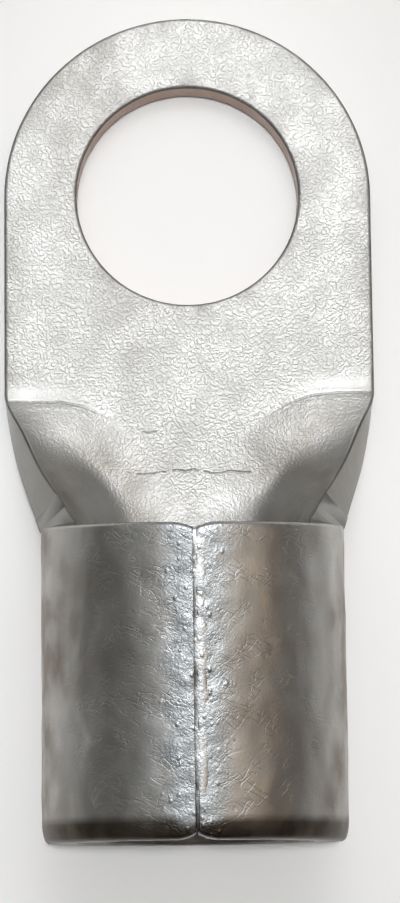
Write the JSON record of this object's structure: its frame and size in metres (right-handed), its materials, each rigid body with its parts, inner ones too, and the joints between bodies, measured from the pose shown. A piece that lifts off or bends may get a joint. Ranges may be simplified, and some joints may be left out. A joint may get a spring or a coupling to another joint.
{
  "type": "ring terminal",
  "caption": "Ring terminal folded from one tinned copper sheet: a flat tongue with a stud hole, a trough-shaped neck and a rolled, brazed barrel for the conductor.",
  "frame": {"origin": "centre of the stud hole on the tongue's underside", "axes": "+Z along the stud hole and up from the tongue; +Y from the barrel towards the tongue's round end; X across the tongue"},
  "size_m": [0.0216, 0.0485, 0.0168],
  "materials": {
    "tinned_copper": "satin tin plating over copper"
  },
  "bodies": {
    "root": {"terminal": "tinned_copper"}
  },
  "joints": []
}
